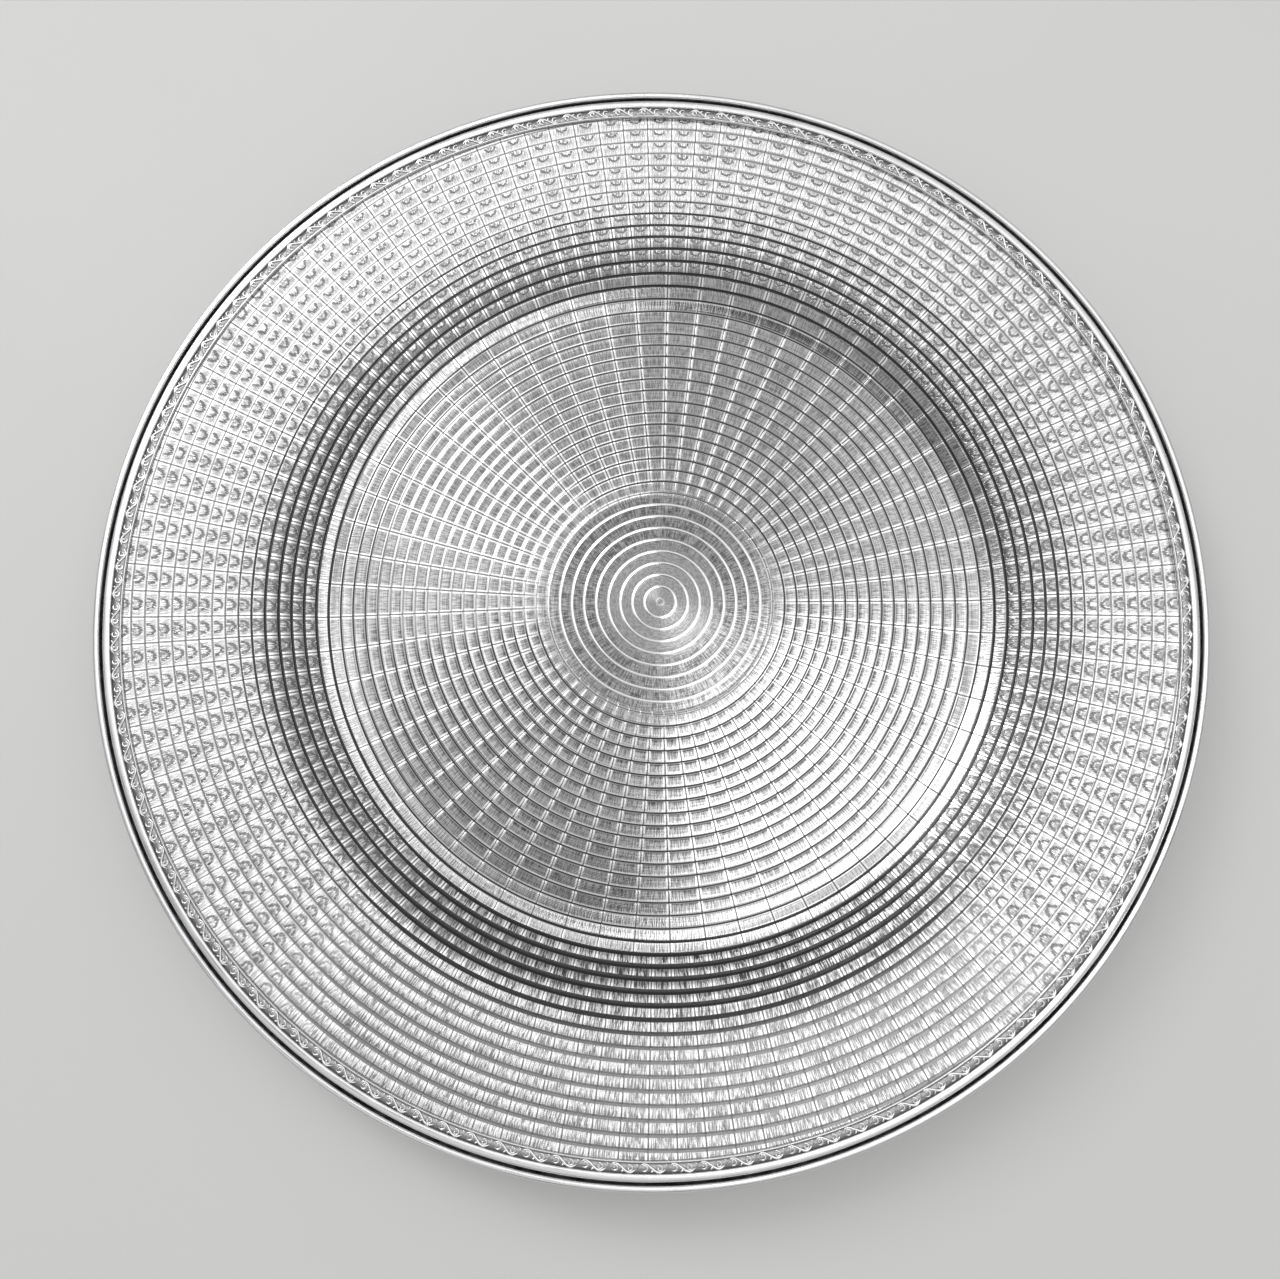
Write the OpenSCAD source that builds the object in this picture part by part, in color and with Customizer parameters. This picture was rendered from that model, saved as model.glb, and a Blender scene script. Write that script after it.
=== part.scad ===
// Offering plate: a round, shallow silver dish on a foot ring, with a border of wires and scrollwork.
// Origin: the middle of the foot's resting plane. +Z is up and is the axis of the turned shape.
// Every piece is turned and they are soldered together, so each piece is its own node.

/* [Plate] */
// Overall diameter over the rope wire at the edge
plate_d = 300; // [270:5:330]
// Thickness of the sheet that the dish is spun from
sheet_t = 1.2; // [1.0:0.1:1.6]
// Rise of the dished floor and flange from the centre out to the border
floor_rise = 4; // [2:0.5:6]
// Rise of the cove between the floor and the flange
cove_rise = 6.5; // [4:0.5:9]
// Slope of the flange outside the cove, as rise over run
flange_slope = 0.14; // [0.08:0.01:0.18]
// Radius where the cove leaves the floor
cove_in_r = 88; // [82:1:92]
// Radius where the cove meets the flange
cove_out_r = 110; // [106:1:114]

/* [Turned rings] */
// Radius of the first ring round the centre mark
first_ring_r = 4.45; // [3.5:0.05:6]
// Distance between two rings, measured along the surface
ring_pitch = 3.425; // [3.2:0.025:4]
// Width of one turned groove
groove_w = 0.7; // [0.4:0.1:1.0]
// Depth of one turned groove
groove_depth = 0.3; // [0.15:0.05:0.4]
// Height of the raised ring lines on the plain centre
ridge_h = 0.25; // [0.1:0.05:0.3]
// Number of raised ring lines on the plain centre
ridge_count = 8; // [6:1:10]

/* [Border] */
// Width of the whole border, from the ringed field to the overall edge
border_w = 8.5; // [8.5:0.1:10]
// Width of the fine wire inside the scrollwork
inner_wire_w = 0.5; // [0.4:0.1:0.7]
// Width of the scrollwork strip
scroll_w = 2.5; // [2.0:0.1:2.7]
// Width of the plain band outside the scrollwork
outer_wire_w = 2.0; // [1.4:0.1:2.1]
// Width of the rounded moulding that closes over the edge
rim_w = 1.6; // [1.4:0.1:1.7]
// Width of the rope wire under the edge
rope_w = 2.2; // [1.8:0.1:2.6]

/* [Foot] */
// Height of the foot, from the table to the underside of the dish
foot_h = 6; // [5:0.5:12]
// Outer radius of the foot where it meets the dish
foot_r = 58; // [50:1:64]
// How far the foot's collar flares outwards on its way down
foot_flare = 3; // [1:0.5:5]
// Thickness of the foot's collar
collar_t = 1.2; // [1.0:0.1:1.6]
// Height and width of the wire along the foot's lower edge
foot_wire_h = 1.8; // [1.2:0.1:2.4]

/* [Hidden] */
$fn = 180;
solder_gap = 0.05;
arc_step = 15;
edge_r = plate_d / 2;
field_r = edge_r - border_w;
rope_overhang = 1.1;
rim_wall_t = 0.9;
rim_out_r = edge_r - rope_overhang;
rim_in_r = rim_out_r - rim_w;
sheet_edge_r = rim_out_r - rim_wall_t;
rim_lip_t = 0.8;
rim_bead_h = 1.6;
wire_h = 0.9;
scroll_t = 0.6;
rope_h = 1.9;
blend_r = 10;
cove_mid_r = (cove_in_r + cove_out_r) / 2;
slope_probe = 0.5;
most_rings = 60;
underside_step = 6;
foot_wire_w = 2.8;
silver = [0.86, 0.86, 0.87];
bright_silver = [0.93, 0.93, 0.94];
shaded_silver = [0.62, 0.62, 0.64];

// The dish's upper surface: a shallow bowl, an S-shaped cove and a ramp that starts softly.
function s_curve(t) = let (u = min(1, max(0, t))) u * u * (3 - 2 * u);
function soft_ramp(x) = x <= -blend_r ? 0 : x >= blend_r ? x : pow(x + blend_r, 2) / (4 * blend_r);
function rise(r) = floor_rise * pow(r / field_r, 2)
    + cove_rise * s_curve((r - cove_in_r) / (cove_out_r - cove_in_r))
    + flange_slope * soft_ramp(r - cove_mid_r);
centre_z = foot_h + sheet_t - rise(foot_r);
function top_z(r) = centre_z + rise(r);

// Each ring stands one pitch further along the surface, so rings crowd a little on the steep cove.
function slope_angle(r) = atan((rise(r + slope_probe) - rise(r - slope_probe)) / (2 * slope_probe));
function next_ring(r) = r + ring_pitch * cos(slope_angle(r + ring_pitch / 2));
function ring_radii(r, n) = n == 0 || r > field_r - groove_w
    ? []
    : concat([r], ring_radii(next_ring(r), n - 1));
rings = ring_radii(first_ring_r, most_rings);

// A raised line inside the plain centre, a cut groove outside it.
function ring_relief(i) = i < ridge_count ? ridge_h : -groove_depth;
function ring_points(i) = let (r = rings[i]) [
    [r - groove_w / 2, top_z(r - groove_w / 2)],
    [r, top_z(r) + ring_relief(i)],
    [r + groove_w / 2, top_z(r + groove_w / 2)]
];

seat_z = top_z(field_r);
rim_bottom_z = seat_z - sheet_t - rim_lip_t;
inner_wire_r = field_r + solder_gap;
scroll_r = inner_wire_r + inner_wire_w + solder_gap;
outer_wire_r = scroll_r + scroll_w + solder_gap;

// A wire with a flat base and a rounded top, as a ring of the given inner radius.
module half_round_ring(inner_r, width, height, base_z) {
    rotate_extrude()
        translate([inner_r + width / 2, base_z])
            polygon([for (a = [0 : arc_step : 180]) [width / 2 * cos(a), height * sin(a)]]);
}

// The spun dish, with its turned rings above and a plain underside.
module plate_body() {
    top = [for (i = [0 : len(rings) - 1]) each ring_points(i)];
    under_radii = [for (r = [0 : underside_step : field_r - underside_step]) r];
    under = [for (i = [len(under_radii) - 1 : -1 : 0]) [under_radii[i], top_z(under_radii[i]) - sheet_t]];
    edge = [
        [field_r, seat_z],
        [sheet_edge_r, seat_z],
        [sheet_edge_r, seat_z - sheet_t],
        [field_r, seat_z - sheet_t]
    ];
    color(silver)
        rotate_extrude()
            polygon(concat([[0, centre_z]], top, edge, under));
}

// The fine wire between the ringed field and the scrollwork.
module inner_border_wire() {
    color(bright_silver)
        half_round_ring(inner_wire_r, inner_wire_w, wire_h, seat_z);
}

// The scrollwork strip, as its plain outer shape.
module scroll_strip() {
    color(shaded_silver)
        rotate_extrude()
            translate([scroll_r, seat_z])
                square([scroll_w, scroll_t]);
}

// The plain band outside the scrollwork.
module outer_border_wire() {
    color(bright_silver)
        half_round_ring(outer_wire_r, outer_wire_w, wire_h, seat_z);
}

// The channel that closes over the sheet's edge, with a rounded bead above and a flat lip below.
module rim_moulding() {
    bead_r = rim_w / 2;
    bead_z = seat_z + rim_bead_h - bead_r;
    slot_r = sheet_edge_r + solder_gap;
    bead = [for (a = [0 : arc_step : 180]) [rim_in_r + bead_r + bead_r * cos(a), bead_z + bead_r * sin(a)]];
    slot = [
        [rim_in_r, seat_z],
        [slot_r, seat_z],
        [slot_r, seat_z - sheet_t],
        [rim_in_r, seat_z - sheet_t]
    ];
    lip = [
        [rim_in_r, rim_bottom_z],
        [rim_out_r, rim_bottom_z]
    ];
    color(bright_silver)
        rotate_extrude()
            polygon(concat(bead, slot, lip));
}

// The rope wire under the moulding, as its plain outer shape: flat on top, rounded below.
module rope_wire() {
    rope_r = edge_r - rope_w / 2;
    color(bright_silver)
        rotate_extrude()
            translate([rope_r, rim_bottom_z])
                polygon([for (a = [180 : arc_step : 360]) [rope_w / 2 * cos(a), rope_h * sin(a)]]);
}

// The flared collar between the dish and the foot wire.
module foot_ring() {
    low_r = foot_r + foot_flare;
    seat_under_z = top_z(foot_r - collar_t) - sheet_t;
    color(silver)
        rotate_extrude()
            polygon([
                [foot_r - collar_t, seat_under_z],
                [low_r - collar_t, foot_wire_h],
                [low_r, foot_wire_h],
                [foot_r, seat_under_z]
            ]);
}

// The wire along the collar's lower edge. The plate stands on its flat base.
module foot_wire() {
    inner_r = foot_r + foot_flare - collar_t / 2 - foot_wire_w / 2;
    rounding = foot_wire_h / 2;
    color(silver)
        rotate_extrude() {
            translate([inner_r + rounding, 0])
                square([foot_wire_w - 2 * rounding, foot_wire_h]);
            for (x = [inner_r + rounding, inner_r + foot_wire_w - rounding])
                translate([x, rounding])
                    circle(r = rounding);
        }
}

plate_body();
inner_border_wire();
scroll_strip();
outer_border_wire();
rim_moulding();
rope_wire();
foot_ring();
foot_wire();
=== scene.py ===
# %% [markdown]
# # A silver offering plate
# This lesson dresses a turned silver dish. The real one is spun from sheet, its rings are cut on a lathe,
# its spokes and marks are chased by hand, and wires and a strip of scrollwork are soldered round its edge.
# The frame gives those eight pieces as plain solids, in metres, standing on z = 0. Polished metal shows
# every facet, and chasing is far too fine for a solid model. So each solid is replaced by a surface worked
# out with numpy, and the frame is used for what it knows best: where everything is.

import math

import bpy
import numpy as np
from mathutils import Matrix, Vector


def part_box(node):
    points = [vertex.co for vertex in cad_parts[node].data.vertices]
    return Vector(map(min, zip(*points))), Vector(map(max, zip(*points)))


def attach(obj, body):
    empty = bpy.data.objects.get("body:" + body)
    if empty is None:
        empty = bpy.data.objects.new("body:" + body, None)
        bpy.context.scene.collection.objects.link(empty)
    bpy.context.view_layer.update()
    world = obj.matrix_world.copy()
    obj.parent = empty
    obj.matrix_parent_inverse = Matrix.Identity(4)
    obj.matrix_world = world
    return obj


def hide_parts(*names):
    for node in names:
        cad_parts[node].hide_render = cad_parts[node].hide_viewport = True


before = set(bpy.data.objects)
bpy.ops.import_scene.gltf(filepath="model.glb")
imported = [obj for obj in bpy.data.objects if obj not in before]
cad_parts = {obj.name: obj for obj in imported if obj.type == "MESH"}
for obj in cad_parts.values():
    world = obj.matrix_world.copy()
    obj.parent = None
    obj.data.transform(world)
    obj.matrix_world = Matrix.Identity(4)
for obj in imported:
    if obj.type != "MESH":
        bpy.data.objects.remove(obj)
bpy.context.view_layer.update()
print("nodes:", sorted(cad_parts))

# %% [markdown]
# ## Sizes
# A turned node's box gives its outer radius and its heights. So the border's radii and the height of the
# middle are measured from the frame, and they follow it if it changes. What a box can't tell, such as the
# thickness of the sheet, is written down here in millimetres.

# %% Sizes from the frame
MM = 0.001


def reach(node):
    """A turned node's outer radius and its lowest and highest z."""
    low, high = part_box(node)
    return high.x, low.z, high.z


GAP = 0.05 * MM
BORDER_W, RIM_W, ROPE_W, SHEET_T = 8.5 * MM, 1.6 * MM, 2.2 * MM, 1.2 * MM
SHEET_R, UNDER_Z, SEAT_Z = reach("plate_body")
EDGE_R, ROPE_LOW_Z, ROPE_TOP_Z = reach("rope_wire")
RIM_R, _, RIM_TOP_Z = reach("rim_moulding")
FIELD_R = EDGE_R - BORDER_W
CENTRE_Z = UNDER_Z + SHEET_T
# Each border piece starts a gap outside the one before it.
starts = [FIELD_R] + [reach(node)[0] for node in ("inner_border_wire", "scroll_strip")]
INNER_WIRE_IN, SCROLL_IN, OUTER_WIRE_IN = [r + GAP for r in starts]
print(f"sheet {SHEET_R / MM:.1f} mm, edge {EDGE_R / MM:.1f} mm, seat at {SEAT_Z / MM:.2f} mm")

# %% [markdown]
# ## The dish's curve
# A spun dish is one smooth curve turned round an axis. Here it is the sum of three simple ones: a shallow
# bowl, an S-shaped cove where the floor turns up, and a flange that starts softly and then climbs evenly. A
# curve drawn by eye would do, but a sum can be asked for its height at any radius, which every later step
# does.

# %% Height of the smooth dish
FLOOR_RISE, COVE_RISE, FLANGE_SLOPE = 4 * MM, 6.5 * MM, 0.14
COVE_IN_R, COVE_OUT_R, BLEND_R = 88 * MM, 110 * MM, 10 * MM


def rise(r):
    """Height over the middle: a bowl (r squared), a cove (the smooth step t * t * (3 - 2 * t)), and a ramp
    whose first stretch is a parabola, so that it has no kink."""
    t = np.clip((r - COVE_IN_R) / (COVE_OUT_R - COVE_IN_R), 0, 1)
    x = r - (COVE_IN_R + COVE_OUT_R) / 2
    ramp = np.where(x <= -BLEND_R, 0, np.where(x >= BLEND_R, x, (x + BLEND_R) ** 2 / (4 * BLEND_R)))
    return FLOOR_RISE * (r / FIELD_R) ** 2 + COVE_RISE * t * t * (3 - 2 * t) + FLANGE_SLOPE * ramp


print(f"the edge of the field stands {float(rise(FIELD_R)) / MM:.2f} mm over the middle")

# %% [markdown]
# ## Mesh helpers
# Every piece is a grid of points that closes on itself. One helper joins two rings of points, also when the
# outer ring has two or more times as many. One numbers the quads of a grid that is closed both ways. One
# puts whole arrays into a mesh with foreach_set, which is quick even for a hundred thousand points.

# %% Mesh helpers
def bridge(inner, outer):
    """Faces between two closed rings of vertex numbers, wound so that they face up when outer is further
    out. The outer ring has m points for each inner one: each span is a quad, plus m - 1 triangles in a
    fan."""
    n, m = len(inner), len(outer) // len(inner)
    a, b = inner, np.roll(inner, -1)
    far = outer.reshape(n, m)
    last = np.roll(far[:, 0], -1)
    if m == 1:
        return [np.column_stack([a, far[:, 0], last, b])]
    fan = [np.column_stack([a, far[:, i], far[:, i + 1]]) for i in range(m - 1)]
    return fan + [np.column_stack([a, far[:, m - 1], last, b])]


def grid_faces(rows, cols):
    """Quads of a grid that is closed both ways, row by row."""
    i = np.arange(rows)[:, None]
    j = np.arange(cols)[None, :]
    down, right = (i + 1) % rows, (j + 1) % cols
    return np.stack([i * cols + j, down * cols + j, down * cols + right, i * cols + right], -1).reshape(-1, 4)


print("a closed grid of 3 by 4 points has", len(grid_faces(3, 4)), "quads")


# %% From arrays to a piece
def new_piece(name, points, faces, material, smooth=True):
    """An object at the origin from an (n, 3) array and a list of face arrays."""
    mesh = bpy.data.meshes.new(name)
    sizes = np.concatenate([np.full(len(f), f.shape[1]) for f in faces])
    mesh.vertices.add(len(points))
    mesh.vertices.foreach_set("co", np.asarray(points, np.float32).ravel())
    mesh.loops.add(int(sizes.sum()))
    mesh.loops.foreach_set("vertex_index", np.concatenate([f.ravel() for f in faces]).astype(np.int32))
    mesh.polygons.add(len(sizes))
    mesh.polygons.foreach_set("loop_start", (np.cumsum(sizes) - sizes).astype(np.int32))
    mesh.polygons.foreach_set("use_smooth", np.full(len(sizes), smooth))
    mesh.update(calc_edges=True)
    mesh.validate()
    mesh.materials.append(material)
    piece = bpy.data.objects.new(name, mesh)
    bpy.context.scene.collection.objects.link(piece)
    print(f"{name}: {len(points)} points, {len(sizes)} faces")
    return piece


def stand_for(piece, node):
    """Rides on the one body and hides the node."""
    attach(piece, "root")
    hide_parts(node)
    return piece


# %% [markdown]
# ## Node helpers
# Materials are written as sums and products, so a short way to add maths nodes keeps them readable. Each
# method adds one node and returns its output. A value that is the same all over goes straight onto the
# shader's socket.

# %% A material's node tree
BRIGHT, BLACK = (0.95, 0.95, 0.955), (0.03, 0.03, 0.03)


class Tree:
    """A metal shader, and a short way to write maths for it."""

    def __init__(self, name):
        self.material = bpy.data.materials.new(name)
        self.material.use_nodes = True
        self.nodes = self.material.node_tree.nodes
        self.links = self.material.node_tree.links
        self.shader = self.nodes["Principled BSDF"]
        self.shader.inputs["Metallic"].default_value = 1.0

    def put(self, socket, value):
        """Links a socket, or sets a plain value."""
        if isinstance(value, bpy.types.NodeSocket):
            self.links.new(value, socket)
        else:
            socket.default_value = value

    def fill(self, node, values):
        """Puts values on a node's first sockets and returns its output."""
        for socket, value in zip(node.inputs, values):
            self.put(socket, value)
        return node.outputs[0]

    def math(self, operation, *values):
        node = self.nodes.new("ShaderNodeMath")
        node.operation = operation
        return self.fill(node, values)

    def plus(self, first, *rest):
        """A sum, taken from the left."""
        for value in rest:
            first = self.math("ADD", first, value)
        return first

    def times(self, first, *rest):
        """A product, taken from the left."""
        for value in rest:
            first = self.math("MULTIPLY", first, value)
        return first

    def less(self, a, b):
        return self.math("SUBTRACT", a, b)

    def most(self, a, b):
        return self.math("MAXIMUM", a, b)

    def fade(self, value, start, end, low=0.0, high=1.0):
        """A smooth step of value from low at start to high at end."""
        node = self.nodes.new("ShaderNodeMapRange")
        node.interpolation_type = "SMOOTHSTEP"
        return self.fill(node, (value, start, end, low, high))

    def noise(self, vector, scale, detail=2.0, roughness=0.5):
        node = self.nodes.new("ShaderNodeTexNoise")
        self.put(node.inputs["Vector"], vector)
        node.inputs["Scale"].default_value = scale
        node.inputs["Detail"].default_value = detail
        node.inputs["Roughness"].default_value = roughness
        return node.outputs[0]

    def place(self):
        return self.nodes.new("ShaderNodeTexCoord").outputs["Object"]

    def parts(self, vector):
        """The three numbers of a vector."""
        node = self.nodes.new("ShaderNodeSeparateXYZ")
        self.put(node.inputs[0], vector)
        return node.outputs

    def point(self, x, y):
        """Two values as a vector."""
        return self.fill(self.nodes.new("ShaderNodeCombineXYZ"), (x, y))

    def vector(self, operation, *values):
        node = self.nodes.new("ShaderNodeVectorMath")
        node.operation = operation
        return self.fill(node, values)

    def shades(self, factor, dark, light):
        """A grey between two others: dark at factor 0 and light at factor 1, or the other way round."""
        node = self.nodes.new("ShaderNodeMix")
        node.data_type = "RGBA"
        self.put(node.inputs[0], factor)
        node.inputs[6].default_value = (*dark, 1)
        node.inputs[7].default_value = (*light, 1)
        return node.outputs[2]

    def colour(self, value):
        self.put(self.shader.inputs["Base Color"], value)

    def roughness(self, value):
        self.put(self.shader.inputs["Roughness"], value)

    def bump(self, height, distance, strength=1.0):
        node = self.nodes.new("ShaderNodeBump")
        node.inputs["Strength"].default_value = strength
        node.inputs["Distance"].default_value = distance
        self.put(node.inputs["Height"], height)
        self.links.new(node.outputs[0], self.shader.inputs["Normal"])


print("helpers:", [name for name in vars(Tree) if not name.startswith("_")])

# %% [markdown]
# ## Plain silver finishes
# Three finishes are plain. The border wires and the rim are hand-polished: a cloth leaves haze in
# patches and a very slight waviness. The seat under the border is a corner that polish never reached, so it
# is dull and grey with oxide, and its dark grey is also painted shade where it shows between the border
# pieces. The underside is left as it came off the lathe, satin with fine turning lines. Each is a metal
# shader with noise in its roughness, because on silver the roughness does most of the talking.

# %% Polished silver, dull seat silver with painted shade, and satin silver
def polished(name, roughness, tint):
    """Haze lifts the roughness up to 1.8 times in patches, and the tint dips by 7% in wider ones."""
    t = Tree(name)
    haze = t.noise(t.place(), 90, 3)
    t.roughness(t.fade(haze, 0.3, 0.7, roughness, roughness * 1.8))
    t.colour(t.shades(t.noise(t.place(), 35, 2), tuple(c * 0.93 for c in tint), tint))
    t.bump(t.noise(t.place(), 400, 2), 0.05 * MM, 0.4)
    return t.material


def oxide_and_shade(name):
    """Clouds of two dull greys: oxide on the seat, and painted shade where it shows between the border
    pieces.
    """
    t = Tree(name)
    cloud = t.noise(t.place(), 500, 3)
    t.colour(t.shades(cloud, (0.14, 0.14, 0.14), (0.34, 0.34, 0.34)))
    t.roughness(t.fade(cloud, 0.3, 0.7, 0.35, 0.6))
    return t.material


TURNING_STEP = 0.5 * MM


def satin(name):
    """Turning lines are a sine of the distance from the axis. Clouds vary the tint and the shine."""
    t = Tree(name)
    x, y, _ = t.parts(t.place())
    r = t.math("SQRT", t.plus(t.math("POWER", x, 2.0), t.math("POWER", y, 2.0)))
    turning = t.math("SINE", t.times(r, 2 * math.pi / TURNING_STEP))
    cloud = t.noise(t.place(), 60, 4)
    t.bump(t.plus(t.times(turning, 0.5), cloud), 0.02 * MM, 0.5)
    t.colour(t.shades(cloud, (0.78, 0.78, 0.79), (0.9, 0.9, 0.905)))
    t.roughness(t.fade(cloud, 0.3, 0.7, 0.2, 0.32))
    return t.material


# %% [markdown]
# ## The chased field's layout
# The field isn't quite centred on the border, and the outer row of cells is cut unevenly by it, as on any
# dish that was chased before its edge was trimmed. Its rings stand one pitch apart along the surface. The
# first eight are raised lines on a plain centre. Outside them sixty-one spokes cut the rings into cells,
# and from ring 28 on there are twice as many. All of it is counted, not drawn: U counts spokes and V counts
# rings, so a whole number is always on a line. The material reads both from a UV map called cells.

# %% The counts, and where each treatment sets in
PITCH_MM, SPOKES = 3.425, 61
RIDGES, FLANGE_RING = 8, 28
FIELD_SHIFT = np.array([2.7, 2.9]) * MM
# Ring numbers between which something sets in, or dies out where the first is the greater.
FIELD_STARTS, SPOKES_START = (RIDGES + 0.6, RIDGES + 1.2), (RIDGES + 0.6, RIDGES + 4.0)
TICKS_START = (3.2, 5.5)
COVE_IN, COVE_OUT = (25.5, 27.5), (34.5, 31.0)
# Ring numbers of the cove's bright crescent, a painted highlight on the -Y half.
CRESCENT_HIGHLIGHT_IN, CRESCENT_HIGHLIGHT_OUT = (24.5, 26.0), (28.0, 27.0)
SHADED_IN, SHADED_OUT = (9.0, 11.0), (26.0, 24.0)
print(f"a floor cell at the cove is {FLANGE_RING * PITCH_MM * 2 * math.pi / SPOKES:.1f} mm wide")


# %% What a point knows of its cell
def from_line(t, fraction, size):
    """Distance in mm to the nearer side of the cell: (0.5 - |fraction - 0.5|) times the cell's size."""
    return t.times(t.less(0.5, t.math("ABSOLUTE", t.less(fraction, 0.5))), size)


def read_cells(t):
    """Keeps on the tree: u and v, the counts; ring, v_cell, spoke and u_cell, their whole and broken parts;
    flange, 1 on the flange; field, 1 outside the plain centre; cell_mm, the cell's width; u_mm and v_mm,
    the distances to the nearest spoke and ring; turn, the angle round the field; and side, its sine."""
    cells = t.nodes.new("ShaderNodeUVMap")
    cells.uv_map = "cells"
    t.u, t.v, _ = t.parts(cells.outputs[0])
    t.ring, t.v_cell = t.math("FLOOR", t.v), t.math("FRACT", t.v)
    t.flange = t.math("GREATER_THAN", t.v, float(FLANGE_RING))
    t.field = t.fade(t.v, *FIELD_STARTS)
    t.spoke = t.times(t.u, t.plus(t.flange, 1.0))
    t.u_cell = t.math("FRACT", t.spoke)
    t.cell_mm = t.math("DIVIDE", t.times(t.v, PITCH_MM * 2 * math.pi / SPOKES), t.plus(t.flange, 1.0))
    t.u_mm, t.v_mm = from_line(t, t.u_cell, t.cell_mm), from_line(t, t.v_cell, PITCH_MM)
    t.turn = t.times(t.u, 2 * math.pi / SPOKES)
    t.side = t.math("SINE", t.turn)


# %% [markdown]
# ## Punched ticks and marks
# Between the lines the silver is matted with short ticks, all struck outwards with a narrow punch. Each
# cell of the flange also carries one small arched mark with a dot in it. They could be stamped into the
# mesh, but at a fifth of a millimetre that would take millions of faces, so they are tone and bump in the
# material. The ticks are noise that is stretched outwards, and the marks are rings and dots measured from a
# point in each cell.

# %% Ticks
TICK_EDGES, HAIR_EDGES = (0.38, 0.62), (0.35, 0.65)
CLEAR_OF_RING_MM, CLEAR_OF_SPOKE_MM = (0.25, 0.6), (0.55, 0.9)
TICK_LENGTHS, RING_JUMP = 1.1, 7.3


def punch_ticks(t):
    """Ticks are noise, counted far along u and little along v. The count along u grows with the ring's
    number, so a tick has the same width everywhere, and it is constant within a ring, so no tick slants.
    Punched is where there are ticks at all: clear of the middle and of both kinds of line. Hair is a finer
    scatter of scratches that run round the dish."""
    across = t.times(t.u, t.plus(t.ring, 0.5))
    along = t.plus(t.times(t.v, TICK_LENGTHS), t.times(t.ring, RING_JUMP))
    t.ticks = t.fade(t.noise(t.point(across, along), 1.0, 1, 0.5), *TICK_EDGES)
    t.hair = t.fade(t.noise(t.point(t.times(t.v, 9.0), t.times(t.u, 0.8)), 1.0, 2), *HAIR_EDGES)
    clear_of_spokes = t.most(t.fade(t.u_mm, *CLEAR_OF_SPOKE_MM), t.fade(t.field, 0.6, 0.4))
    t.punched = t.times(t.fade(t.v, *TICKS_START), t.fade(t.v_mm, *CLEAR_OF_RING_MM), clear_of_spokes)


# %% Marks
MARK_W_MM, MARK_H_MM, MARK_FOOT, ARCH_R = 1.75, 2.35, 0.84, 0.8
MARK_SQUAT, WORN, RAGGED = 1.8, 0.8, 0.22
# Sines of the angle round the field, between which marks get squat and marks get worn.
SQUAT_SIDES, WORN_SIDES = (0.5, 0.9), (-0.66, -0.86)


def strike_marks(t):
    """Away is the distance from the mark's foot, in mark sizes. The arch is where away is near ARCH_R, the
    dot is where it is small, and the foot cuts both off. The ticks roughen the outline, luck makes some
    dots faint, marks are squat towards +Y, and those towards -Y, where near is 1, are worn away."""
    chance = t.nodes.new("ShaderNodeTexWhiteNoise")
    t.put(chance.inputs["Vector"], t.point(t.math("FLOOR", t.spoke), t.ring))
    t.luck = chance.outputs["Value"]
    du = t.math("DIVIDE", t.times(t.less(t.u_cell, 0.5), t.cell_mm), MARK_W_MM)
    squat = t.fade(t.side, *SQUAT_SIDES, 1.0, MARK_SQUAT)
    dv = t.times(t.less(MARK_FOOT, t.v_cell), PITCH_MM / MARK_H_MM, squat)
    away = t.math("SQRT", t.plus(t.times(du, du), t.times(dv, dv)))
    away = t.plus(away, t.times(t.less(t.ticks, 0.5), RAGGED))
    arch = t.less(1.0, t.fade(t.math("ABSOLUTE", t.less(away, ARCH_R)), 0.08, 0.26))
    arch = t.times(arch, t.fade(t.v_cell, 0.92, MARK_FOOT))
    dot = t.times(t.fade(away, 0.5, 0.2), t.fade(t.luck, 0.35, 0.75, 0.15, 0.8))
    t.near = t.times(t.fade(t.side, *WORN_SIDES), t.flange)
    t.mark = t.times(t.most(arch, dot), t.less(t.flange, t.times(t.near, WORN)))


print(f"an arch is {2 * ARCH_R * MARK_W_MM:.1f} mm wide and {ARCH_R * MARK_H_MM:.1f} mm high")

# %% [markdown]
# ## Lines
# A turned ring is a sunk line that holds dirt, so it is dark. It is widest on the steep cove, where polish
# reaches least. In the plain centre the rings are polished bright instead, and on one sector of the floor
# they are made bright as a painted highlight. A spoke is a dark hairline between two bright bands, which are
# burnish from the chasing tool and also a painted highlight. Each of these is a fade of the distance to the
# line, so their widths are in millimetres everywhere on the dish.

# %% Dark and bright lines
# Distances in mm from a line, where it has faded out and where it is whole.
RING_OUT_MM, RING_WHOLE_MM, SPOKE_LINE_MM = 0.30, 0.12, (0.24, 0.10)
RING_BAND_MM, SPOKE_BAND_MM = (0.34, 0.20), (0.72, 0.52)
COVE_WIDER_MM, NEAR_WIDER_MM = 0.22, 0.34
# The sector of the floor whose rings get a painted highlight, and how much of their dark line is left there.
HIGHLIGHT_SECTOR, SECTOR_EDGES = math.radians(158), (0.78, 0.95)
HIGHLIGHT_RINGS, DIRT_LEFT = (25.0, 20.0), 0.15


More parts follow.
